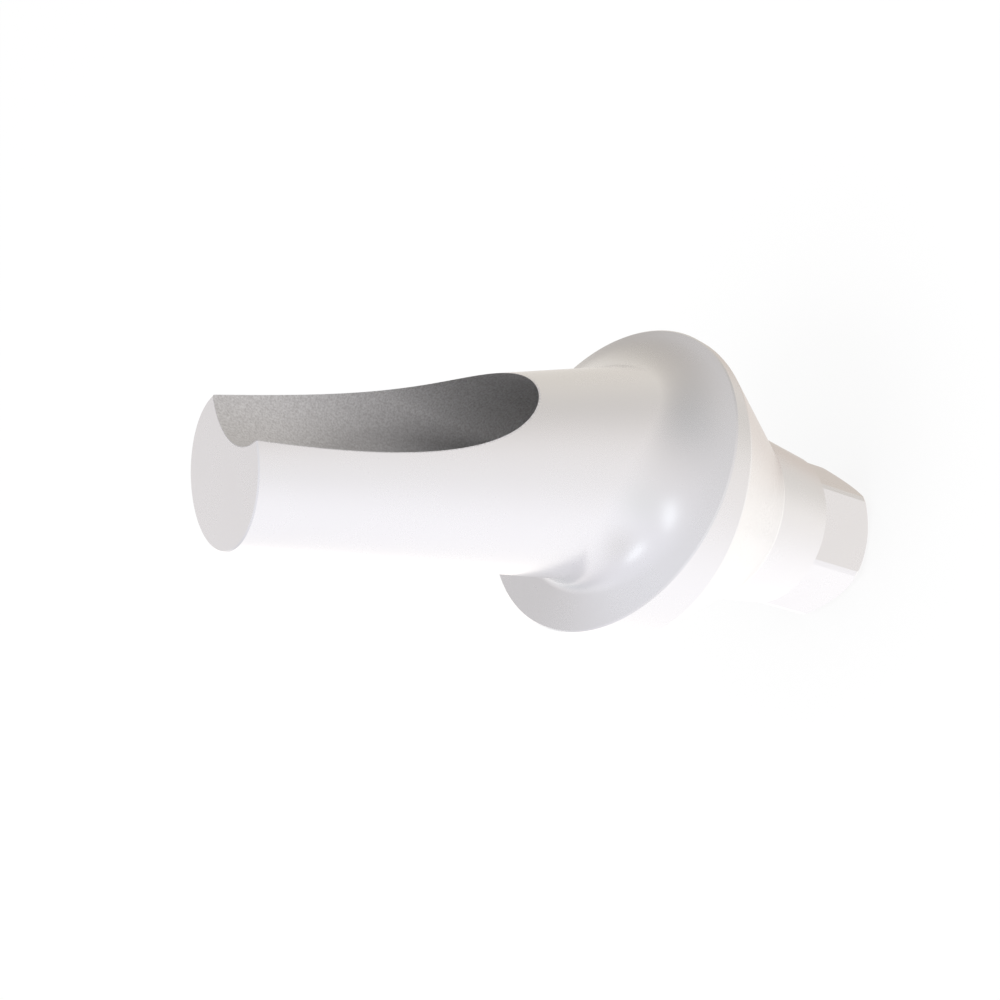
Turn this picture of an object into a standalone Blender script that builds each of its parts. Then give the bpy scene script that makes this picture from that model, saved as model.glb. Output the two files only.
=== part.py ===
"""Angled dental abutment, one piece machined from titanium alloy.

The abutment screws onto a dental implant and carries a crown. From the bottom up it has a
hexagon that keys into the implant, a tapered seat, a flared neck, a rim with a tilted margin
where the crown ends, a hollow shoulder, and a tapered post that leans by a fixed angle. A
straight screw channel follows the implant's axis, so it breaks out through the side of the
leaning post.

Frame: +Z is the implant's axis, towards the post. The origin is the centre of the platform,
the sharp edge where the tapered seat meets the neck. The post leans towards +X, square to one
of the hexagon's flats. The plane y = 0 is the plane of symmetry. Units are metres.
"""
import math

import bmesh
import bpy
from mathutils import Vector

MM = 0.001

# Connection, below the platform
HEX_SIDES = 6
HEX_FIRST_CORNER = math.radians(30.0)
HEX_ACROSS_FLATS = 2.43 * MM
HEX_CORNER_DIA = 2.75 * MM
HEX_LENGTH = 1.33 * MM
HEX_CHAMFER_RADIAL = 0.25 * MM
HEX_CHAMFER_LENGTH = 0.22 * MM
SEAT_END_DIA = 2.75 * MM
SEAT_LENGTH = 1.23 * MM

# Neck and rim, above the platform
PLATFORM_DIA = 3.07 * MM
RIM_DIA = 5.44 * MM
RIM_HEIGHT = 1.98 * MM

# Margin, a circle in a plane that rises on the side the post leans to
MARGIN_DIA = 5.49 * MM
MARGIN_HEIGHT = 2.65 * MM
MARGIN_TILT = math.radians(9.7)

# Post, a cone round a leaning axis that crosses the implant's axis
POST_LEAN = math.radians(14.15)
POST_AXIS_HEIGHT = 2.94 * MM
POST_LENGTH = 6.95 * MM
POST_END_DIA = 2.52 * MM
POST_TAPER = math.radians(4.67)

# Shoulder, which falls from the post towards the margin, most at the two sides, and the hollow
# round at the post's foot, which takes a share of the shoulder's width
SHOULDER_FALL = math.radians(8.0)
SHOULDER_FALL_SIDES = math.radians(30.0)
ROUND_SHARE = 0.80
ROUND_SHARE_LEAN_SIDE = 0.20

# Screw channel, seat of the screw's head and hole for its shank
CHANNEL_DIA = 2.385 * MM
HEAD_SEAT_HEIGHT = 0.60 * MM
SHANK_HOLE_DIA = 1.80 * MM
SHANK_LEAD_IN = 0.08 * MM

# Fineness of the mesh, and the turn between faces from which an edge is shown sharp
SEGMENTS = 120
FILLET_STEPS = 10
SHARP_TURN = math.radians(20.0)

# How far the cutting solids reach past the part
CUT_MARGIN = 1.0 * MM


def level_ring(radius, height):
    """Points of a circle square to the implant's axis, starting at +X."""
    step = 2.0 * math.pi / SEGMENTS
    return [Vector((radius * math.cos(i * step), radius * math.sin(i * step), height))
            for i in range(SEGMENTS)]


def margin_plane_height(x):
    """Height of the margin's plane above the platform at a given x."""
    return MARGIN_HEIGHT + x * math.tan(MARGIN_TILT)


def margin_ring():
    """The sharp edge where the crown ends."""
    ring = level_ring(MARGIN_DIA / 2.0, 0.0)
    return [Vector((p.x, p.y, margin_plane_height(p.x))) for p in ring]


def post_axis():
    """Foot of the post's axis on the implant's axis, and the axis's direction."""
    foot = Vector((0.0, 0.0, POST_AXIS_HEIGHT))
    return foot, Vector((math.sin(POST_LEAN), 0.0, math.cos(POST_LEAN)))


def post_ring(along):
    """Points round the post's cone, at a distance along its axis from the foot."""
    foot, direction = post_axis()
    across = Vector((math.cos(POST_LEAN), 0.0, -math.sin(POST_LEAN)))
    side = Vector((0.0, 1.0, 0.0))
    radius = POST_END_DIA / 2.0 + (POST_LENGTH - along) * math.tan(POST_TAPER)
    step = 2.0 * math.pi / SEGMENTS
    return [foot + direction * along
            + across * (radius * math.cos(i * step)) + side * (radius * math.sin(i * step))
            for i in range(SEGMENTS)]


def meet_margin_plane(low, high):
    """Where the line from low to high crosses the margin's plane."""
    gap_low = low.z - margin_plane_height(low.x)
    gap_high = high.z - margin_plane_height(high.x)
    return low.lerp(high, gap_low / (gap_low - gap_high))


def shoulder_fall(angle):
    """Slope of the shoulder towards the margin, at an angle round the axis from the lean."""
    return SHOULDER_FALL + (SHOULDER_FALL_SIDES - SHOULDER_FALL) * math.sin(angle) ** 2


def round_share(angle):
    """Share of the shoulder's width that the hollow round takes, at an angle from the lean."""
    towards_lean = max(math.cos(angle), 0.0) ** 2
    return ROUND_SHARE + (ROUND_SHARE_LEAN_SIDE - ROUND_SHARE) * towards_lean


def shoulder_corner(crossing, rim_point, post_point, fall):
    """Where the shoulder's slope up from the rim meets the post's side."""
    wall = (post_point - crossing).normalized()
    inward = crossing - rim_point
    across = wall.dot(inward.normalized())
    upright = math.sqrt(1.0 - across * across)
    slope = math.tan(fall)
    return crossing + wall * (inward.length * slope / (upright - across * slope))


def fillet_arc(corner, towards_rim, towards_post, share):
    """Points of a round in a corner, which takes a share of the way to the rim."""
    outward = (towards_rim - corner).normalized()
    upward = (towards_post - corner).normalized()
    half = outward.angle(upward) / 2.0
    reach = share * (towards_rim - corner).length
    centre = corner + (outward + upward).normalized() * (reach / math.cos(half))
    start = corner + outward * reach - centre
    end = corner + upward * reach - centre
    turn = start.angle(end)
    points = []
    for step in range(FILLET_STEPS + 1):
        along = step / FILLET_STEPS
        weight_start = math.sin((1.0 - along) * turn) / math.sin(turn)
        weight_end = math.sin(along * turn) / math.sin(turn)
        points.append(centre + start * weight_start + end * weight_end)
    return points


def shoulder_rings(margin):
    """Rings of the hollow round that leads from the falling shoulder up into the post."""
    low = post_ring(0.0)
    high = post_ring(POST_LENGTH)
    arcs = []
    for i in range(SEGMENTS):
        angle = 2.0 * math.pi * i / SEGMENTS
        crossing = meet_margin_plane(low[i], high[i])
        corner = shoulder_corner(crossing, margin[i], high[i], shoulder_fall(angle))
        arcs.append(fillet_arc(corner, margin[i], high[i], round_share(angle)))
    return [[arc[step] for arc in arcs] for step in range(FILLET_STEPS + 1)]


def loft(name, rings):
    """A closed solid skinned over rings of equal count, with flat ends."""
    mesh = bpy.data.meshes.new(name)
    bm = bmesh.new()
    loops = [[bm.verts.new(point) for point in ring] for ring in rings]
    for lower, upper in zip(loops, loops[1:]):
        count = len(lower)
        for i in range(count):
            j = (i + 1) % count
            bm.faces.new((lower[i], lower[j], upper[j], upper[i]))
    bm.faces.new(reversed(loops[0]))
    bm.faces.new(loops[-1])
    bm.to_mesh(mesh)
    bm.free()
    obj = bpy.data.objects.new(name, mesh)
    bpy.context.collection.objects.link(obj)
    return obj


def outer_skin():
    """The turned and milled outside, from the hexagon's end to the post's end."""
    corner = HEX_CORNER_DIA / 2.0
    hex_end = -SEAT_LENGTH - HEX_LENGTH
    rings = [
        level_ring(corner - HEX_CHAMFER_RADIAL, hex_end),
        level_ring(corner, hex_end + HEX_CHAMFER_LENGTH),
        level_ring(SEAT_END_DIA / 2.0, -SEAT_LENGTH),
        level_ring(PLATFORM_DIA / 2.0, 0.0),
        level_ring(RIM_DIA / 2.0, RIM_HEIGHT),
    ]
    margin = margin_ring()
    rings.append(margin)
    rings.extend(shoulder_rings(margin))
    rings.append(post_ring(POST_LENGTH))
    return loft("abutment_body", rings)


def hexagon_cutter():
    """A sleeve that mills the hexagon's six flats out of the turned stub."""
    top = -SEAT_LENGTH
    bottom = top - HEX_LENGTH - CUT_MARGIN
    inner_radius = HEX_ACROSS_FLATS / 2.0 / math.cos(math.pi / HEX_SIDES)
    outer_radius = HEX_CORNER_DIA / 2.0 + CUT_MARGIN
    bm = bmesh.new()

    def hexagon(radius, height):
        corners = []
        for i in range(HEX_SIDES):
            angle = HEX_FIRST_CORNER + 2.0 * math.pi * i / HEX_SIDES
            corners.append(bm.verts.new((radius * math.cos(angle), radius * math.sin(angle), height)))
        return corners

    inner_top = hexagon(inner_radius, top)
    inner_bottom = hexagon(inner_radius, bottom)
    outer_bottom = hexagon(outer_radius, bottom)
    outer_top = hexagon(outer_radius, top)
    walls = (inner_top, inner_bottom, outer_bottom, outer_top)
    for first, second in zip(walls, walls[1:] + walls[:1]):
        for i in range(HEX_SIDES):
            j = (i + 1) % HEX_SIDES
            bm.faces.new((first[i], first[j], second[j], second[i]))
    bmesh.ops.recalc_face_normals(bm, faces=bm.faces)
    mesh = bpy.data.meshes.new("hexagon_cutter")
    bm.to_mesh(mesh)
    bm.free()
    return cutter_object("hexagon_cutter", mesh)


def channel_cutter():
    """The shank hole with its lead-in, the flat head seat and the screw channel."""
    hex_end = -SEAT_LENGTH - HEX_LENGTH
    post_top = POST_AXIS_HEIGHT + POST_LENGTH + CUT_MARGIN
    shank = SHANK_HOLE_DIA / 2.0
    channel = CHANNEL_DIA / 2.0
    solid = loft("channel_cutter", [
        level_ring(shank + SHANK_LEAD_IN + CUT_MARGIN, hex_end - CUT_MARGIN),
        level_ring(shank, hex_end + SHANK_LEAD_IN),
        level_ring(shank, HEAD_SEAT_HEIGHT),
        level_ring(channel, HEAD_SEAT_HEIGHT),
        level_ring(channel, post_top),
    ])
    return mark_as_cutter(solid)


def cutter_object(name, mesh):
    """An object for a cutting mesh, kept out of renders."""
    obj = bpy.data.objects.new(name, mesh)
    bpy.context.collection.objects.link(obj)
    return mark_as_cutter(obj)


def mark_as_cutter(obj):
    """Shows a cutting solid as wires and keeps it out of renders."""
    obj.hide_render = True
    obj.display_type = "WIRE"
    return obj


def cut(body, cutter):
    """Takes a cutter's volume out of the body."""
    modifier = body.modifiers.new(cutter.name, "BOOLEAN")
    modifier.operation = "DIFFERENCE"
    modifier.solver = "EXACT"
    modifier.object = cutter


def titanium():
    """Bare titanium alloy with a fine satin finish."""
    material = bpy.data.materials.new("satin_titanium")
    material.use_nodes = True
    shader = material.node_tree.nodes["Principled BSDF"]
    shader.inputs["Base Color"].default_value = (0.86, 0.85, 0.85, 1.0)
    shader.inputs["Metallic"].default_value = 1.0
    shader.inputs["Roughness"].default_value = 0.42
    return material


def main():
    """Builds the abutment."""
    for obj in list(bpy.data.objects):
        bpy.data.objects.remove(obj)
    body = outer_skin()
    body.data.materials.append(titanium())
    cut(body, hexagon_cutter())
    cut(body, channel_cutter())
    body.data.shade_smooth()
    body.data.set_sharp_from_angle(angle=SHARP_TURN)


main()
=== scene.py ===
"""Angled dental abutment in satin titanium, on a white table in soft light."""
import math

import bpy
from bpy.props import FloatProperty, FloatVectorProperty, IntProperty, PointerProperty
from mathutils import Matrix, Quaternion, Vector


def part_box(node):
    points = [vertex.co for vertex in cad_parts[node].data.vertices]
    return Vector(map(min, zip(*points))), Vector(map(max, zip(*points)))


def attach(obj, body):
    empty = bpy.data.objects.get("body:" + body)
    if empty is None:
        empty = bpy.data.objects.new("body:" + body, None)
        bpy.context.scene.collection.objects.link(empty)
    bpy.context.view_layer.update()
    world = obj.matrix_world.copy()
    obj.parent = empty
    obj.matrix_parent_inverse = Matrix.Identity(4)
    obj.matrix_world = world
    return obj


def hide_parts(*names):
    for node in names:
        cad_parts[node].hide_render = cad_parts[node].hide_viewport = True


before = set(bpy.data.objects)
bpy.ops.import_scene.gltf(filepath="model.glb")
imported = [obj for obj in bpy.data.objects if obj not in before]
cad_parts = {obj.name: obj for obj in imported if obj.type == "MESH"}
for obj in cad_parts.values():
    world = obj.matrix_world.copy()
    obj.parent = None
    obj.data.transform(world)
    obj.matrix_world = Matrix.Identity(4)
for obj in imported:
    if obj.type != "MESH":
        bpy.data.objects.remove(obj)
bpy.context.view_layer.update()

bl_info = {
    "name": "Angled dental abutment",
    "version": (1, 0, 0),
    "blender": (4, 5, 0),
    "location": "3D View > Sidebar > Abutment",
    "description": "Models an angled dental abutment round its packed solid, and lights it",
    "category": "Object",
}

MM = 0.001
CAD_NODE = "abutment_body"
TABLE_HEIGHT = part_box(CAD_NODE)[0].z
TABLE_WIDTH = 1.0
SAME_PLACE = 1e-7
HEX_SIDES = 6

# Part of the post's length that the hollow round surely stays below
ROUND_REACH = 0.22

# Turns between faces: edges that are chamfered, and edges that are shaded smooth
CHAMFER_TURN = math.radians(15.0)
SMOOTH_TURN = math.radians(6.5)

TENT_RADIUS = 300.0 * MM
TENT_MIDDLE = Vector((0.0, 0.0, 3.0 * MM))

# Place on the shoulder's near side that the lamps face
LAMP_AIM = Vector((0.0, 2.2, 2.8)) * MM

# Lamps that make the shoulder's two highlights: azimuth, elevation and roll in degrees
NEAR_LAMPS = {"near_lamp_1": (108.0, 44.0, -31.0), "near_lamp_2": (46.0, 33.0, 10.0)}
NEAR_LAMP_DISTANCE = 50.0 * MM
NEAR_LAMP_SIZE = (21.0 * MM, 9.0 * MM)

# Lamp that casts the shadow: azimuth and elevation in degrees
SHADOW_LAMP = (40.0, 60.0)
SHADOW_LAMP_DISTANCE = 90.0 * MM
SHADOW_LAMP_SIZE = (60.0 * MM, 60.0 * MM)

# Camera at the photograph's angle: focal length for a sensor 36 mm wide, place and turn
CAMERA_LENS = 83.507
CAMERA_SENSOR = 36.0
CAMERA_PLACE = Vector((-7.76995, 29.88946, 27.54412)) * MM
CAMERA_TURN = [math.radians(degrees) for degrees in (20.6066, 50.6398, 132.1327)]


def length(name, millimetres, description):
    """A length that the sidebar shows, given in millimetres."""
    return FloatProperty(name=name, description=description, default=millimetres * MM,
                         min=0.0, precision=5, subtype="DISTANCE", unit="LENGTH")


def angle(name, degrees, description):
    """An angle that the sidebar shows, given in degrees."""
    return FloatProperty(name=name, description=description, default=math.radians(degrees),
                         subtype="ANGLE", unit="ROTATION")


def colour(name, value, description):
    """A colour that the sidebar shows."""
    return FloatVectorProperty(name=name, description=description, default=value, size=3,
                               min=0.0, max=1.0, subtype="COLOR")


def share(name, value, description):
    """A value from 0 to 1 that the sidebar shows."""
    return FloatProperty(name=name, description=description, default=value,
                         min=0.0, max=1.0, subtype="FACTOR")


def strength(name, value, description):
    """A value that the sidebar shows and that may go past 1."""
    return FloatProperty(name=name, description=description, default=value, min=0.0, max=10.0)


class AbutmentSizes(bpy.types.PropertyGroup):
    """Sizes of the abutment."""
    hex_flats: length("Hexagon across flats", 2.43, "Width of the hexagon from flat to flat")
    hex_corners: length("Hexagon corners", 2.75, "Diameter that the corners are turned to")
    hex_length: length("Hexagon length", 1.33, "Length of the hexagon below the seat")
    hex_chamfer_in: length("End chamfer, inwards", 0.25, "How far the end chamfer goes in")
    hex_chamfer_up: length("End chamfer, upwards", 0.22, "How far the end chamfer goes up")
    seat_end: length("Seat end diameter", 2.75, "Diameter of the tapered seat's narrow end")
    seat_length: length("Seat length", 1.23, "Length of the tapered seat")
    platform: length("Platform diameter", 3.07, "Diameter where the seat meets the neck")
    rim: length("Rim diameter", 5.44, "Diameter at the top of the neck")
    rim_height: length("Rim height", 1.98, "Height of the rim's lower edge")
    margin: length("Margin diameter", 5.49, "Diameter of the margin, where the crown ends")
    margin_height: length("Margin height", 2.65, "Height of the margin on the axis")
    margin_tilt: angle("Margin tilt", 9.7, "Slope of the margin's plane")
    post_lean: angle("Post lean", 14.15, "Angle between the post and the screw channel")
    post_foot: length("Post foot height", 2.94, "Height where the post's axis crosses the channel's")
    post_length: length("Post length", 6.95, "Length of the post along its axis")
    post_end: length("Post end diameter", 2.52, "Diameter of the post's end")
    post_taper: angle("Post taper", 4.67, "Angle between the post's side and its axis")
    shoulder_fall: angle("Shoulder fall", 8.0, "Slope of the shoulder towards the margin")
    shoulder_fall_sides: angle("Shoulder fall at the sides", 30.0, "The same slope at the two sides")
    round_share: share("Round", 0.80, "Share of the shoulder's width that the hollow round takes")
    round_share_lean: share("Round, lean side", 0.20, "The same share on the side of the lean")
    channel: length("Channel diameter", 2.385, "Diameter of the screw channel")
    head_seat: length("Head seat height", 0.60, "Height of the flat that the screw's head rests on")
    shank_hole: length("Shank hole diameter", 1.80, "Diameter of the hole for the screw's shank")
    shank_lead_in: length("Shank lead-in", 0.08, "Chamfer at the shank hole's end")
    edge_break: length("Edge break", 0.022, "Width of the tiny chamfers that break the edges")
    segments: IntProperty(name="Segments", description="Faces round the turned shapes",
                          default=240, min=24, max=480)
    round_steps: IntProperty(name="Round steps", description="Faces across the hollow round",
                             default=16, min=3, max=48)
    side_steps: IntProperty(name="Side steps", description="Faces up the side of the post",
                            default=16, min=2, max=48)


class AbutmentFinish(bpy.types.PropertyGroup):
    """Colours and texture of the titanium."""
    metal: colour("Metal", (0.95, 0.945, 0.945), "Colour of the bare titanium")
    bore: colour("Bore", (0.90, 0.89, 0.885), "Colour of the titanium inside the channel")
    roughness: share("Roughness", 0.24, "Roughness of the outside")
    bore_roughness: share("Bore roughness", 0.60, "Roughness inside the channel")
    grain_size: length("Grain size", 0.028, "Size of the fine grain on the surface")
    grain_depth: length("Grain depth", 0.0005, "Depth of the fine grain")
    bore_grain_size: length("Bore grain size", 0.035, "Size of the grain inside the channel")
    # The next two settings set painted shade in the bore. Its colour is dimmed at the open end. Deeper
    # in, the dimming lifts on the -X side and grows on the +X side.
    bore_mouth_painted_shade: share("Bore's mouth", 0.84, "Brightness of the bore's colour at its open end")
    bore_sides_painted_shade: FloatProperty(name="Bore's sides", default=1.6, min=0.0, max=2.0,
                             description="How much the bore's two sides differ deep inside")
    line_spacing: length("Lathe line spacing", 0.034, "Distance between the fine turned lines")
    line_depth: length("Lathe line depth", 0.0002, "Depth of the fine turned lines")


class AbutmentStage(bpy.types.PropertyGroup):
    """The table, the tent of soft light and the lamps."""
    table: colour("Table", (0.92, 0.92, 0.92), "Colour of the table")
    table_white: share("Table's own white", 0.8, "How much plain white the table shows as background")
    tent: colour("Tent", (0.77, 0.745, 0.755), "Colour of the tent between its lights and darks")
    tent_contrast: share("Tent contrast", 1.0, "How strong the tent's lights and darks are")
    near_lamps: strength("Near lamps", 0.48, "Brightness of the two lamps that make highlights")
    near_tint: colour("Near lamps' colour", (0.865, 0.94, 1.0), "Colour of the same two lamps")
    shadow_lamp: strength("Shadow lamp", 2.2, "Brightness of the lamp that casts the shadow")
    world: share("World strength", 1.0, "Strength of the white light from all round")


# Soft lights and darks of the tent: azimuth, elevation and spread in degrees, and the colour added
TENT_PATCHES = {
    "dark_wall": (-102.0, 3.0, 26.0, (-0.18, -0.175, -0.175)),
    "dark_back_wall": (-168.0, 16.0, 19.5, (-0.135, -0.11, -0.09)),
    "dark_far_floor": (-117.0, -55.0, 15.0, (-0.39, -0.435, -0.435)),
    "low_card": (-48.0, -14.0, 23.0, (0.495, 0.475, 0.46)),
    "bright_floor": (-91.0, -55.0, 43.0, (0.33, 0.34, 0.315)),
    "cool_ceiling": (-87.0, 66.0, 45.0, (0.16, 0.18, 0.19)),
    "grey_near_card": (105.0, 15.0, 15.0, (-0.075, -0.06, -0.075)),
    "warm_near_stripe": (46.0, 8.0, 16.0, (-0.135, -0.14, -0.17)),
    "dark_end_wall": (-20.0, 13.0, 16.5, (-0.16, -0.155, -0.155)),
    "dark_side_floor": (174.0, -42.0, 15.5, (-0.135, -0.145, -0.16)),
    "grey_back_floor": (-172.0, -47.0, 15.5, (-0.16, -0.145, -0.125)),
    "grey_near_floor": (114.0, -43.0, 22.0, (-0.125, -0.13, -0.14)),
    "end_gap": (-33.0, 10.0, 10.0, (-0.16, -0.12, -0.11)),
    "end_glow": (-18.0, 38.0, 11.0, (0.11, 0.11, 0.11)),
    "near_floor_glow": (0.0, -40.0, 38.0, (0.04, 0.04, 0.04)),
    "dark_hexagon_card": (-100.0, -41.0, 6.5, (-0.17, -0.17, -0.17)),
    "grey_ceiling_card": (-73.0, 38.0, 10.0, (-0.05, -0.05, -0.05)),
}

# Colour that the tent gains from one side to the other along each axis
TENT_SLOPES = {"X": (0.06, 0.07, 0.10), "Y": (0.20, 0.215, 0.245), "Z": (-0.145, -0.14, -0.125)}


def make_ready():
    """Leaves edit mode and deselects everything, so that an operator acts on new work only."""
    if bpy.context.object and bpy.context.object.mode != "OBJECT":
        bpy.ops.object.mode_set(mode="OBJECT")
    bpy.ops.object.select_all(action="DESELECT")


def activate(*objects):
    """Selects the objects and makes the last one active."""
    make_ready()
    for obj in objects:
        obj.select_set(True)
    bpy.context.view_layer.objects.active = objects[-1]


def settle(name):
    """Names the new object and moves its place into its mesh."""
    obj = bpy.context.object
    obj.name = obj.data.name = name
    bpy.ops.object.transform_apply(location=True, rotation=True, scale=True)
    return obj


def select_vertices(obj, wanted):
    """In edit mode, selects the vertices that the test accepts, with the edges between them."""
    bpy.ops.object.mode_set(mode="EDIT")
    bpy.ops.mesh.select_mode(type="VERT")
    bpy.ops.mesh.select_all(action="DESELECT")
    bpy.ops.object.mode_set(mode="OBJECT")
    found = [vertex for vertex in obj.data.vertices if wanted(vertex.co)]
    if not found:
        raise RuntimeError(f"{obj.name}: nothing to select")
    for vertex in found:
        vertex.select = True
    bpy.ops.object.mode_set(mode="EDIT")


def draw_up(rings):
    """In edit mode, extrudes the selected ring upwards to each (radius, height) after the first."""
    for (radius, height), (next_radius, next_height) in zip(rings, rings[1:]):
        bpy.ops.mesh.extrude_region_move(
            TRANSFORM_OT_translate={"value": (0.0, 0.0, next_height - height)})
        factor = next_radius / radius
        bpy.ops.transform.resize(value=(factor, factor, 1.0),
                                 center_override=(0.0, 0.0, next_height))


def turned(name, rings, segments):
    """A turned solid through rings given as (radius, height) from the lowest up, left in edit mode."""
    make_ready()
    radius, height = rings[0]
    bpy.ops.mesh.primitive_circle_add(vertices=segments, radius=radius, fill_type="NOTHING",
                                      location=(0.0, 0.0, height))
    obj = settle(name)
    bpy.ops.object.mode_set(mode="EDIT")
    bpy.ops.mesh.select_all(action="SELECT")
    draw_up(rings)
    return obj


def close_end(obj, height):
    """Fills the ring of vertices at a height with one flat face."""
    select_vertices(obj, lambda co: abs(co.z - height) < SAME_PLACE)
    bpy.ops.mesh.edge_face_add()


def face_outwards():
    """In edit mode, turns all faces outwards."""
    bpy.ops.mesh.select_all(action="SELECT")
    bpy.ops.mesh.normals_make_consistent(inside=False)


def above_margin(co, sizes):
    """Height of a point above the margin's plane, measured upright."""
    return co.z - sizes.margin_height - co.x * math.tan(sizes.margin_tilt)


def lower_body(sizes):
    """Stub of the hexagon, tapered seat, neck and rim, up to the tilted margin."""
    end = -sizes.seat_length - sizes.hex_length
    rings = [
        (sizes.hex_corners / 2.0 - sizes.hex_chamfer_in, end),
        (sizes.hex_corners / 2.0, end + sizes.hex_chamfer_up),
        (sizes.seat_end / 2.0, -sizes.seat_length),
        (sizes.platform / 2.0, 0.0),
        (sizes.rim / 2.0, sizes.rim_height),
        (sizes.margin / 2.0, sizes.margin_height),
    ]
    body = turned("titanium_abutment", rings, sizes.segments)
    centre = (0.0, 0.0, sizes.margin_height)
    stretch = 1.0 / math.cos(sizes.margin_tilt)
    bpy.ops.transform.resize(value=(stretch, 1.0, 1.0), center_override=centre)
    bpy.ops.transform.rotate(value=sizes.margin_tilt, orient_axis="Y", center_override=centre)
    close_end(body, end)
    bpy.ops.object.mode_set(mode="OBJECT")
    return body


def evenly(low, high, steps):
    """Heights from low to high, both included, in equal steps."""
    return [low + (high - low) * step / steps for step in range(steps + 1)]


def leaning_post(sizes):
    """The tapered post, cut off along the margin's plane and lifted off the body by its length."""
    top = sizes.post_length
    slope = math.tan(sizes.post_taper)
    lowest = -sizes.margin_height / 2.0
    heights = [lowest] + evenly(top * ROUND_REACH, top, sizes.side_steps)
    rings = [(sizes.post_end / 2.0 + (top - height) * slope, height) for height in heights]
    post = turned("post", rings, sizes.segments)
    close_end(post, top)
    bpy.ops.mesh.select_all(action="SELECT")
    bpy.ops.transform.rotate(value=-sizes.post_lean, orient_axis="Y",
                             center_override=(0.0, 0.0, 0.0))
    bpy.ops.transform.translate(value=(0.0, 0.0, sizes.post_foot))
    tilt = sizes.margin_tilt
    bpy.ops.mesh.bisect(plane_co=(0.0, 0.0, sizes.margin_height),
                        plane_no=(-math.sin(tilt), 0.0, math.cos(tilt)),
                        use_fill=False, clear_inner=True, threshold=SAME_PLACE)
    bpy.ops.mesh.select_all(action="SELECT")
    bpy.ops.transform.translate(value=(0.0, 0.0, sizes.post_length))
    bpy.ops.object.mode_set(mode="OBJECT")
    return post


def join_post(body, post, sizes):
    """Bridges the margin and the lifted post's foot, then lowers the post into its place."""
    lift = sizes.post_length
    activate(post, body)
    bpy.ops.object.join()

    def on_a_rim(co):
        above = above_margin(co, sizes)
        return min(abs(above), abs(above - lift)) < SAME_PLACE

    select_vertices(body, on_a_rim)
    bpy.ops.mesh.bridge_edge_loops()
    select_vertices(body, lambda co: above_margin(co, sizes) > lift / 2.0)
    bpy.ops.transform.translate(value=(0.0, 0.0, -lift))
    face_outwards()
    bpy.ops.object.mode_set(mode="OBJECT")


def raise_foot(body, sizes):
    """Lifts the post's foot up the post, so that the shoulder falls to the margin all round.

    Gives the reach of the hollow round at each corner of the foot, by the vertex's index.
    """
    vertices = body.data.vertices
    inner_limit = sizes.margin / 2.0 - SAME_PLACE * 10.0
    foot = {vertex.index for vertex in vertices
            if abs(above_margin(vertex.co, sizes)) < SAME_PLACE
            and math.hypot(vertex.co.x, vertex.co.y) < inner_limit}
    post_side, rim_side = {}, {}
    for edge in body.data.edges:
        for index, other in (tuple(edge.vertices), tuple(edge.vertices)[::-1]):
            if index in foot and other not in foot:
                point = vertices[other].co.copy()
                side = post_side if above_margin(point, sizes) > SAME_PLACE else rim_side
                side[index] = point
    reaches = {}
    for index in foot:
        crossing = vertices[index].co.copy()
        wall = (post_side[index] - crossing).normalized()
        inward = crossing - rim_side[index]
        turn = math.atan2(rim_side[index].y, rim_side[index].x)
        side_part = math.sin(turn) ** 2
        lean_part = max(math.cos(turn), 0.0)
        fall = sizes.shoulder_fall + (sizes.shoulder_fall_sides - sizes.shoulder_fall) * side_part
        share_here = sizes.round_share + (sizes.round_share_lean - sizes.round_share) * lean_part
        across = wall.dot(inward.normalized())
        upright = math.sqrt(1.0 - across * across)
        rise = inward.length * math.tan(fall) / (upright - across * math.tan(fall))
        vertices[index].co = crossing + wall * rise
        reaches[index] = share_here * (vertices[index].co - rim_side[index]).length
    return reaches


def add_hollow_round(body, sizes):
    """Rounds the corner between shoulder and post, by the reach that each place has."""
    reaches = raise_foot(body, sizes)
    longest = max(reaches.values())
    mesh = body.data
    weights = mesh.attributes.new("bevel_weight_edge", "FLOAT", "EDGE")
    for edge in mesh.edges:
        first, second = edge.vertices
        if first in reaches and second in reaches:
            weights.data[edge.index].value = (reaches[first] + reaches[second]) / 2.0 / longest
    bevel = body.modifiers.new("hollow_round", "BEVEL")
    bevel.limit_method = "WEIGHT"
    bevel.width = longest
    bevel.segments = sizes.round_steps
    bevel.use_clamp_overlap = False
    activate(body)
    bpy.ops.object.modifier_apply(modifier=bevel.name)
    mesh.attributes.remove(mesh.attributes["bevel_weight_edge"])


def hexagon_sleeve(sizes):
    """A sleeve whose inside mills the hexagon's flats."""
    make_ready()
    top = -sizes.seat_length
    inner = sizes.hex_flats / 2.0 / math.cos(math.pi / HEX_SIDES)
    outer = sizes.hex_corners
    bpy.ops.mesh.primitive_circle_add(vertices=HEX_SIDES, radius=inner, fill_type="NOTHING",
                                      location=(0.0, 0.0, top))
    sleeve = settle("hexagon_sleeve")
    bpy.ops.object.mode_set(mode="EDIT")
    bpy.ops.mesh.select_all(action="SELECT")
    draw_up([(inner, top), (outer, top)])
    bpy.ops.mesh.select_all(action="SELECT")
    bpy.ops.mesh.extrude_region_move(
        TRANSFORM_OT_translate={"value": (0.0, 0.0, -2.0 * sizes.hex_length)})
    face_outwards()
    bpy.ops.object.mode_set(mode="OBJECT")
    return sleeve


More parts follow.
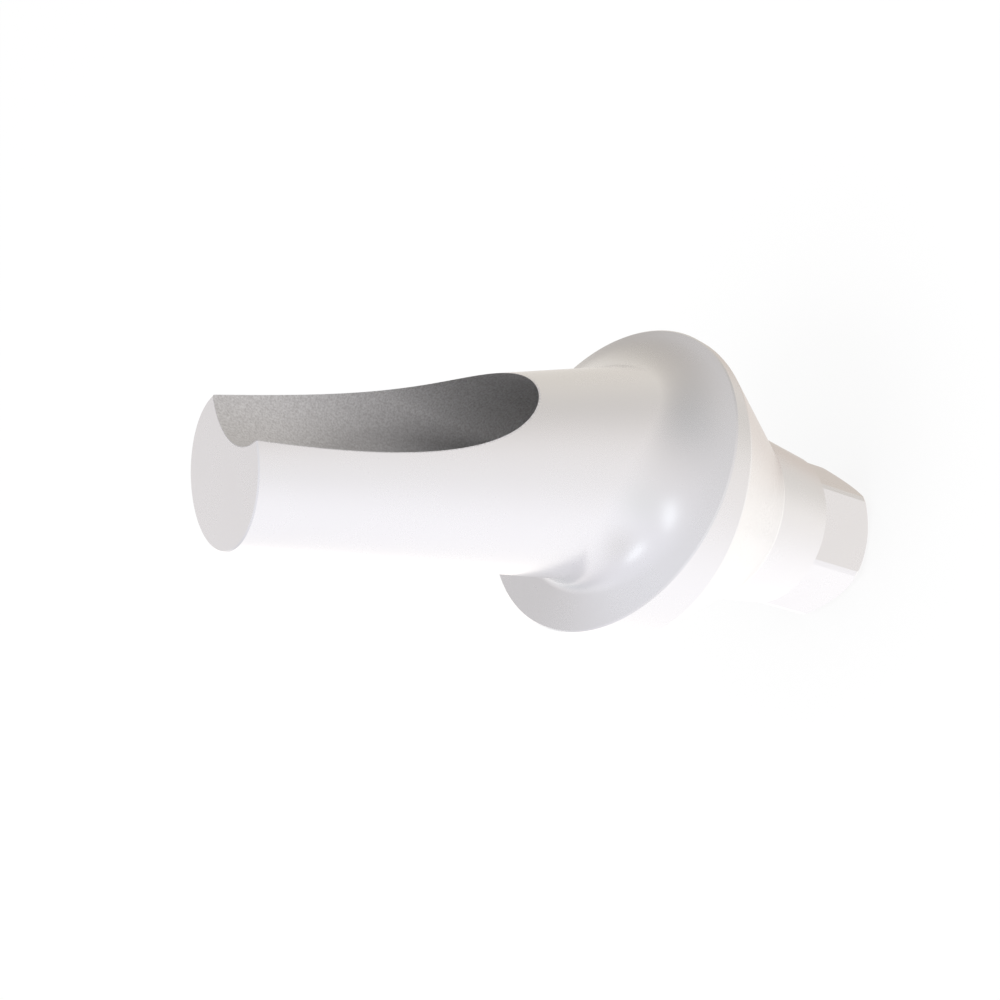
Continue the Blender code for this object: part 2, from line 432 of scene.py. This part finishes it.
def channel_drill(sizes):
    """The shape of the shank hole, the head's seat and the screw channel."""
    end = -sizes.seat_length - sizes.hex_length
    spare = sizes.shank_hole / 2.0
    top = sizes.post_foot + sizes.post_length + spare
    shank = sizes.shank_hole / 2.0
    channel = sizes.channel / 2.0
    rings = [
        (shank + sizes.shank_lead_in + spare, end - spare),
        (shank, end + sizes.shank_lead_in),
        (shank, sizes.head_seat),
    ]
    rings += [(channel, height) for height in evenly(sizes.head_seat, top, 2 * sizes.side_steps)]
    drill = turned("channel_drill", rings, sizes.segments)
    close_end(drill, rings[0][1])
    close_end(drill, top)
    face_outwards()
    bpy.ops.object.mode_set(mode="OBJECT")
    return drill


def take_out(body, tool):
    """Cuts the tool's volume out of the body and deletes the tool."""
    cut = body.modifiers.new(tool.name, "BOOLEAN")
    cut.operation = "DIFFERENCE"
    cut.solver = "EXACT"
    cut.object = tool
    activate(body)
    bpy.ops.object.modifier_apply(modifier=cut.name)
    bpy.data.objects.remove(tool)


def break_edges(body, sizes):
    """Tiny chamfers on the turned edges, before anything is cut out."""
    bevel = body.modifiers.new("edge_chamfers", "BEVEL")
    bevel.limit_method = "ANGLE"
    bevel.angle_limit = CHAMFER_TURN
    bevel.width = sizes.edge_break
    bevel.segments = 1
    bevel.use_clamp_overlap = False
    activate(body)
    bpy.ops.object.modifier_apply(modifier=bevel.name)


def smooth_faces(body):
    """Smooth shading on the rounds only, so that the flats and cones stay true to their edges."""
    activate(body)
    bpy.ops.object.mode_set(mode="EDIT")
    bpy.ops.mesh.select_all(action="SELECT")
    bpy.ops.mesh.remove_doubles(threshold=SAME_PLACE * 5.0)
    bpy.ops.object.mode_set(mode="OBJECT")
    bpy.ops.object.shade_smooth_by_angle(angle=SMOOTH_TURN)


def node(tree, kind, place, **settings):
    """A new node with its settings, at a place in the node editor."""
    made = tree.nodes.new(kind)
    made.location = place
    for name, value in settings.items():
        setattr(made, name, value)
    return made


def calculate(tree, operation, place, first, second=None, third=None):
    """A maths node fed by sockets or numbers; gives its output."""
    made = node(tree, "ShaderNodeMath", place, operation=operation)
    for socket, value in zip(made.inputs, (first, second, third)):
        if value is None:
            continue
        if isinstance(value, (int, float)):
            socket.default_value = value
        else:
            tree.links.new(value, socket)
    return made.outputs[0]


def new_group(name, inputs, outputs):
    """An empty node group with named sockets; gives the tree and its two end nodes."""
    tree = bpy.data.node_groups.new(name, "ShaderNodeTree")
    for direction, sockets in (("INPUT", inputs), ("OUTPUT", outputs)):
        for label, kind in sockets:
            tree.interface.new_socket(label, in_out=direction, socket_type=kind)
    start = node(tree, "NodeGroupInput", (-800, 0))
    end = node(tree, "NodeGroupOutput", (800, 0))
    return tree, start, end


def grain_group():
    """Fine blasted grain: a height and a tone, both from 0 to 1."""
    tree, start, end = new_group(
        "fine_grain",
        [("Vector", "NodeSocketVector"), ("Size", "NodeSocketFloat")],
        [("Height", "NodeSocketFloat"), ("Tone", "NodeSocketFloat")])
    scale = calculate(tree, "DIVIDE", (-600, -100), 1.0, start.outputs["Size"])
    fine = node(tree, "ShaderNodeTexNoise", (-300, 150), noise_dimensions="3D")
    fine.inputs["Detail"].default_value = 2.0
    fine.inputs["Roughness"].default_value = 0.6
    broad = node(tree, "ShaderNodeTexNoise", (-300, -150), noise_dimensions="3D")
    broad.inputs["Detail"].default_value = 3.0
    wide_scale = calculate(tree, "MULTIPLY", (-600, -300), scale, 0.03)
    tree.links.new(start.outputs["Vector"], fine.inputs["Vector"])
    tree.links.new(scale, fine.inputs["Scale"])
    tree.links.new(start.outputs["Vector"], broad.inputs["Vector"])
    tree.links.new(wide_scale, broad.inputs["Scale"])
    tree.links.new(fine.outputs["Fac"], end.inputs["Height"])
    tone = calculate(tree, "MULTIPLY_ADD", (100, -50), fine.outputs["Fac"], 0.35,
                     calculate(tree, "MULTIPLY", (-50, -200), broad.outputs["Fac"], 0.65))
    tree.links.new(tone, end.inputs["Tone"])
    return tree


def lathe_group():
    """Fine lines left by turning, level rings round the upright axis."""
    tree, start, end = new_group(
        "lathe_lines",
        [("Vector", "NodeSocketVector"), ("Spacing", "NodeSocketFloat")],
        [("Height", "NodeSocketFloat")])
    parts = node(tree, "ShaderNodeSeparateXYZ", (-600, 0))
    tree.links.new(start.outputs["Vector"], parts.inputs[0])
    turns = calculate(tree, "DIVIDE", (-400, 0), parts.outputs["Z"], start.outputs["Spacing"])
    lines = node(tree, "ShaderNodeTexNoise", (-150, 0), noise_dimensions="1D")
    lines.inputs["Scale"].default_value = 1.0
    lines.inputs["Detail"].default_value = 2.0
    tree.links.new(turns, lines.inputs["W"])
    tree.links.new(lines.outputs["Fac"], end.inputs["Height"])
    return tree


def bore_group():
    """A mask, 1 inside the bores, a depth that rises to 1 inwards, and a place from side to side."""
    tree, start, end = new_group(
        "inside_bore",
        [("Vector", "NodeSocketVector"), ("Radius", "NodeSocketFloat"),
         ("Bottom", "NodeSocketFloat"), ("Mouth", "NodeSocketFloat"), ("Deep", "NodeSocketFloat")],
        [("Mask", "NodeSocketFloat"), ("Depth", "NodeSocketFloat"), ("Across", "NodeSocketFloat")])
    parts = node(tree, "ShaderNodeSeparateXYZ", (-600, 0))
    tree.links.new(start.outputs["Vector"], parts.inputs[0])
    square_x = calculate(tree, "MULTIPLY", (-400, 150), parts.outputs["X"], parts.outputs["X"])
    square_y = calculate(tree, "MULTIPLY", (-400, 0), parts.outputs["Y"], parts.outputs["Y"])
    radius = calculate(tree, "SQRT", (-50, 100), calculate(tree, "ADD", (-200, 100), square_x, square_y))
    within = calculate(tree, "LESS_THAN", (150, 100), radius, start.outputs["Radius"])
    over = calculate(tree, "GREATER_THAN", (150, -100), parts.outputs["Z"], start.outputs["Bottom"])
    mask = calculate(tree, "MULTIPLY", (400, 0), within, over)
    tree.links.new(mask, end.inputs["Mask"])
    depth = node(tree, "ShaderNodeMapRange", (150, -350), interpolation_type="SMOOTHSTEP")
    tree.links.new(parts.outputs["Z"], depth.inputs["Value"])
    tree.links.new(start.outputs["Mouth"], depth.inputs["From Min"])
    tree.links.new(start.outputs["Deep"], depth.inputs["From Max"])
    tree.links.new(depth.outputs["Result"], end.inputs["Depth"])
    across = calculate(tree, "DIVIDE", (400, -350), parts.outputs["X"], start.outputs["Radius"])
    tree.links.new(across, end.inputs["Across"])
    return tree


def place_group(tree, group, place, **values):
    """A group node in a material, with its own values."""
    made = node(tree, "ShaderNodeGroup", place, node_tree=group)
    for name, value in values.items():
        made.inputs[name].default_value = value
    return made


def satin_titanium(sizes, finish):
    """Satin titanium: fine grain outside, rougher and darker inside the bore, with painted shade on the
    bore's colour.
    """
    material = bpy.data.materials.new("satin_titanium")
    material.use_nodes = True
    tree = material.node_tree
    links = tree.links
    shader = tree.nodes["Principled BSDF"]
    shader.inputs["Metallic"].default_value = 1.0
    where = node(tree, "ShaderNodeTexCoord", (-1400, 0)).outputs["Object"]
    bore = place_group(tree, bore_group(), (-1100, 300),
                       Radius=sizes.channel / 2.0 + sizes.edge_break / 2.0,
                       Bottom=-sizes.seat_length - sizes.hex_length + sizes.shank_lead_in / 2.0,
                       Mouth=sizes.post_foot + sizes.post_length * 0.9,
                       Deep=sizes.post_foot + sizes.post_length * 0.15)
    grain = place_group(tree, grain_group(), (-1100, 0), Size=finish.grain_size)
    lathe = place_group(tree, lathe_group(), (-1100, -300), Spacing=finish.line_spacing)
    for group in (bore, grain, lathe):
        links.new(where, group.inputs["Vector"])

    metal = node(tree, "ShaderNodeMix", (-700, 300), data_type="RGBA")
    metal.inputs["A"].default_value = (*[c * 0.965 for c in finish.metal], 1.0)
    metal.inputs["B"].default_value = (*finish.metal, 1.0)
    links.new(grain.outputs["Tone"], metal.inputs["Factor"])
    mottle = place_group(tree, grain.node_tree, (-1100, 550), Size=finish.bore_grain_size)
    links.new(where, mottle.inputs["Vector"])
    spread = calculate(tree, "MULTIPLY_ADD", (-900, 550), mottle.outputs["Height"], 3.0, -1.0)
    inner = node(tree, "ShaderNodeMix", (-700, 80), data_type="RGBA")
    inner.inputs["A"].default_value = (*[c * 0.87 for c in finish.bore], 1.0)
    inner.inputs["B"].default_value = (*[min(1.0, c * 1.13) for c in finish.bore], 1.0)
    links.new(spread, inner.inputs["Factor"])
    # Painted shade in the bore: its colour is dimmed to the mouth's level at the open end. Deeper in,
    # the dimming lifts on the -X side and deepens on the +X side. The scale is kept between 0.62 and 1.
    side = calculate(tree, "MULTIPLY_ADD", (-1150, 800), bore.outputs["Across"],
                     -finish.bore_sides_painted_shade, 0.29 * finish.bore_sides_painted_shade)
    level = calculate(tree, "MULTIPLY_ADD", (-1000, 800), bore.outputs["Depth"], side,
                      finish.bore_mouth_painted_shade)
    level = calculate(tree, "MINIMUM", (-850, 800), level, 1.0)
    level = calculate(tree, "MAXIMUM", (-700, 800), level, 0.62)
    painted_shade_bore = node(tree, "ShaderNodeVectorMath", (-550, 80), operation="SCALE")
    links.new(inner.outputs["Result"], painted_shade_bore.inputs[0])
    links.new(level, painted_shade_bore.inputs["Scale"])
    base = node(tree, "ShaderNodeMix", (-400, 250), data_type="RGBA")
    links.new(bore.outputs["Mask"], base.inputs["Factor"])
    links.new(metal.outputs["Result"], base.inputs["A"])
    links.new(painted_shade_bore.outputs["Vector"], base.inputs["B"])
    links.new(base.outputs["Result"], shader.inputs["Base Color"])

    rough = calculate(tree, "MULTIPLY_ADD", (-600, -120), bore.outputs["Mask"],
                      finish.bore_roughness - finish.roughness, finish.roughness)
    uneven = calculate(tree, "MULTIPLY_ADD", (-400, -120), grain.outputs["Tone"], 0.06, rough)
    links.new(uneven, shader.inputs["Roughness"])

    lines_share = finish.line_depth / finish.grain_depth
    height = calculate(tree, "MULTIPLY_ADD", (-500, -320), lathe.outputs["Height"], lines_share,
                       grain.outputs["Height"])
    bump = node(tree, "ShaderNodeBump", (-250, -320))
    bump.inputs["Distance"].default_value = finish.grain_depth
    bump.inputs["Strength"].default_value = 1.0
    links.new(height, bump.inputs["Height"])
    links.new(bump.outputs["Normal"], shader.inputs["Normal"])
    return material


class ABUTMENT_OT_body(bpy.types.Operator):
    """Models the abutment from its hexagon to the end of its post"""
    bl_idname = "abutment.body"
    bl_label = "Abutment body"

    def execute(self, context):
        sizes = context.scene.abutment_sizes
        body = lower_body(sizes)
        join_post(body, leaning_post(sizes), sizes)
        add_hollow_round(body, sizes)
        break_edges(body, sizes)
        take_out(body, hexagon_sleeve(sizes))
        take_out(body, channel_drill(sizes))
        smooth_faces(body)
        body.data.materials.clear()
        body.data.materials.append(satin_titanium(sizes, context.scene.abutment_finish))
        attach(body, "root")
        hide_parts(CAD_NODE)
        return {"FINISHED"}


def seen_white(tree):
    """1 for the rays that show the background: straight ones, reflections and through glass."""
    path = node(tree, "ShaderNodeLightPath", (-900, 300))
    shown = calculate(tree, "MAXIMUM", (-700, 300), path.outputs["Is Camera Ray"],
                      path.outputs["Is Glossy Ray"])
    return calculate(tree, "MAXIMUM", (-500, 300), shown, path.outputs["Is Transmission Ray"])


def white_world(strength):
    """White light from all round, shown at full white behind the object."""
    world = bpy.data.worlds.new("white_room")
    bpy.context.scene.world = world
    world.use_nodes = True
    tree = world.node_tree
    background = tree.nodes["Background"]
    background.inputs["Color"].default_value = (1.0, 1.0, 1.0, 1.0)
    level = calculate(tree, "MULTIPLY_ADD", (-300, 300), seen_white(tree), 1.0 - strength, strength)
    tree.links.new(level, background.inputs["Strength"])


def table_top(stage):
    """A wide white table that keeps the object's shadow."""
    make_ready()
    bpy.ops.mesh.primitive_plane_add(size=TABLE_WIDTH, location=(0.0, 0.0, TABLE_HEIGHT))
    table = settle("table_top")
    material = bpy.data.materials.new("white_table")
    material.use_nodes = True
    tree = material.node_tree
    shader = tree.nodes["Principled BSDF"]
    shader.inputs["Base Color"].default_value = (*stage.table, 1.0)
    shader.inputs["Roughness"].default_value = 0.9
    shader.inputs["Specular IOR Level"].default_value = 0.0
    glow = node(tree, "ShaderNodeEmission", (0, -300))
    mix = node(tree, "ShaderNodeMixShader", (200, 0))
    share_white = calculate(tree, "MULTIPLY", (-300, 300), seen_white(tree), stage.table_white)
    tree.links.new(share_white, mix.inputs["Fac"])
    tree.links.new(shader.outputs["BSDF"], mix.inputs[1])
    tree.links.new(glow.outputs["Emission"], mix.inputs[2])
    output = tree.nodes["Material Output"]
    tree.links.new(mix.outputs["Shader"], output.inputs["Surface"])
    table.data.materials.append(material)
    table.visible_glossy = False


def towards(azimuth, elevation):
    """The unit vector in a direction given in degrees."""
    turn, rise = math.radians(azimuth), math.radians(elevation)
    return Vector((math.cos(turn) * math.cos(rise), math.sin(turn) * math.cos(rise), math.sin(rise)))


def along_direction(tree, vector, direction, place):
    """How far a unit vector points in a direction, from -1 to 1."""
    made = node(tree, "ShaderNodeVectorMath", place, operation="DOT_PRODUCT")
    made.inputs[1].default_value = direction
    tree.links.new(vector, made.inputs[0])
    return made.outputs["Value"]


def add_tone(tree, tone, amount, added, contrast, place):
    """The tone with a colour added to it in proportion to an amount."""
    made = node(tree, "ShaderNodeVectorMath", place, operation="MULTIPLY_ADD")
    tree.links.new(amount, made.inputs[0])
    made.inputs[1].default_value = [value * contrast for value in added]
    tree.links.new(tone, made.inputs[2])
    return made.outputs["Vector"]


def light_tent(stage):
    """A tent of soft light round the object, from light to dark, that only the metal sees."""
    make_ready()
    bpy.ops.mesh.primitive_uv_sphere_add(segments=96, ring_count=48, radius=TENT_RADIUS,
                                         location=TENT_MIDDLE)
    tent = settle("light_tent")

    material = bpy.data.materials.new("tent_cloth")
    material.use_nodes = True
    tree = material.node_tree
    tree.nodes.remove(tree.nodes["Principled BSDF"])
    where = node(tree, "ShaderNodeTexCoord", (-1300, 0)).outputs["Object"]
    centred = node(tree, "ShaderNodeMapping", (-1100, 0), vector_type="POINT")
    centred.inputs["Location"].default_value = -TENT_MIDDLE
    tree.links.new(where, centred.inputs["Vector"])
    outwards = node(tree, "ShaderNodeVectorMath", (-900, 0), operation="NORMALIZE")
    tree.links.new(centred.outputs["Vector"], outwards.inputs[0])
    outwards = outwards.outputs["Vector"]

    tone = node(tree, "ShaderNodeCombineColor", (-700, 400))
    for socket, value in zip(tone.inputs, stage.tent):
        socket.default_value = value
    tone = tone.outputs["Color"]
    parts = node(tree, "ShaderNodeSeparateXYZ", (-700, 200))
    tree.links.new(outwards, parts.inputs[0])
    for step, (axis, added) in enumerate(TENT_SLOPES.items()):
        tone = add_tone(tree, tone, parts.outputs[axis], added, stage.tent_contrast,
                        (-500 + step * 200, 400))
    for step, (azimuth, elevation, spread, added) in enumerate(TENT_PATCHES.values()):
        height = -200 - step * 200
        facing = along_direction(tree, outwards, towards(azimuth, elevation), (-700, height))
        facing = calculate(tree, "MAXIMUM", (-500, height), facing, 0.0)
        soft = calculate(tree, "POWER", (-300, height), facing, math.radians(spread) ** -2)
        tone = add_tone(tree, tone, soft, added, stage.tent_contrast, (step * 200, 0))
    glow = node(tree, "ShaderNodeEmission", (2200, 0))
    tree.links.new(tone, glow.inputs["Color"])
    tree.links.new(glow.outputs["Emission"], tree.nodes["Material Output"].inputs["Surface"])
    tent.data.materials.append(material)
    tent.visible_camera = False
    tent.visible_diffuse = False
    tent.visible_transmission = False
    tent.visible_shadow = False


def soft_lamp(name, direction, distance, sizes, roll, radiance, tint):
    """An oval area lamp in a direction from the shoulder's near side, turned towards it."""
    width, height = sizes
    area = math.pi * width * height / 4.0
    data = bpy.data.lights.new(name, "AREA")
    data.shape = "ELLIPSE"
    data.size, data.size_y = width, height
    data.color = tint
    data.energy = radiance * math.pi * area
    lamp = bpy.data.objects.new(name, data)
    bpy.context.scene.collection.objects.link(lamp)
    lamp.location = LAMP_AIM + direction * distance
    turn = direction.to_track_quat("Z", "Y") @ Quaternion((0.0, 0.0, 1.0), math.radians(roll))
    lamp.rotation_euler = turn.to_euler()
    return lamp


def camera_at_photo_angle():
    """The camera at the photograph's angle and distance."""
    data = bpy.data.cameras.new("camera")
    data.lens = CAMERA_LENS
    data.sensor_width = CAMERA_SENSOR
    data.clip_start = 0.5 * MM
    data.clip_end = 10.0 * TABLE_WIDTH
    camera = bpy.data.objects.new("camera", data)
    bpy.context.scene.collection.objects.link(camera)
    camera.location = CAMERA_PLACE
    camera.rotation_euler = CAMERA_TURN
    bpy.context.scene.camera = camera


class ABUTMENT_OT_stage(bpy.types.Operator):
    """Makes the table, the tent, the lamps and the camera"""
    bl_idname = "abutment.stage"
    bl_label = "Table, light and camera"

    def execute(self, context):
        stage = context.scene.abutment_stage
        context.scene.view_settings.view_transform = "Standard"
        white_world(stage.world)
        table_top(stage)
        light_tent(stage)
        for name, (azimuth, elevation, roll) in NEAR_LAMPS.items():
            soft_lamp(name, towards(azimuth, elevation), NEAR_LAMP_DISTANCE, NEAR_LAMP_SIZE, roll,
                      stage.near_lamps, stage.near_tint)
        shadow_lamp = soft_lamp("shadow_lamp", towards(*SHADOW_LAMP), SHADOW_LAMP_DISTANCE,
                                SHADOW_LAMP_SIZE, 0.0, stage.shadow_lamp, (1.0, 1.0, 1.0))
        shadow_lamp.visible_glossy = False
        camera_at_photo_angle()
        return {"FINISHED"}


class ABUTMENT_PT_panel(bpy.types.Panel):
    """Lists the steps and their settings"""
    bl_label = "Dental abutment"
    bl_space_type = "VIEW_3D"
    bl_region_type = "UI"
    bl_category = "Abutment"

    def draw(self, context):
        for settings, step in (("abutment_sizes", "abutment.body"),
                               ("abutment_finish", None),
                               ("abutment_stage", "abutment.stage")):
            box = self.layout.box()
            group = getattr(context.scene, settings)
            for name in group.bl_rna.properties.keys():
                if name not in ("rna_type", "name"):
                    box.prop(group, name)
            if step:
                box.operator(step)


CLASSES = (AbutmentSizes, AbutmentFinish, AbutmentStage,
           ABUTMENT_OT_body, ABUTMENT_OT_stage, ABUTMENT_PT_panel)


def register():
    """Adds the classes and the settings."""
    for made in CLASSES:
        bpy.utils.register_class(made)
    bpy.types.Scene.abutment_sizes = PointerProperty(type=AbutmentSizes)
    bpy.types.Scene.abutment_finish = PointerProperty(type=AbutmentFinish)
    bpy.types.Scene.abutment_stage = PointerProperty(type=AbutmentStage)


def unregister():
    """Takes the classes and the settings away again."""
    del bpy.types.Scene.abutment_stage
    del bpy.types.Scene.abutment_finish
    del bpy.types.Scene.abutment_sizes
    for made in reversed(CLASSES):
        bpy.utils.unregister_class(made)


def main():
    """Makes the whole scene."""
    register()
    bpy.ops.abutment.body()
    bpy.ops.abutment.stage()


if __name__ == "__main__":
    main()
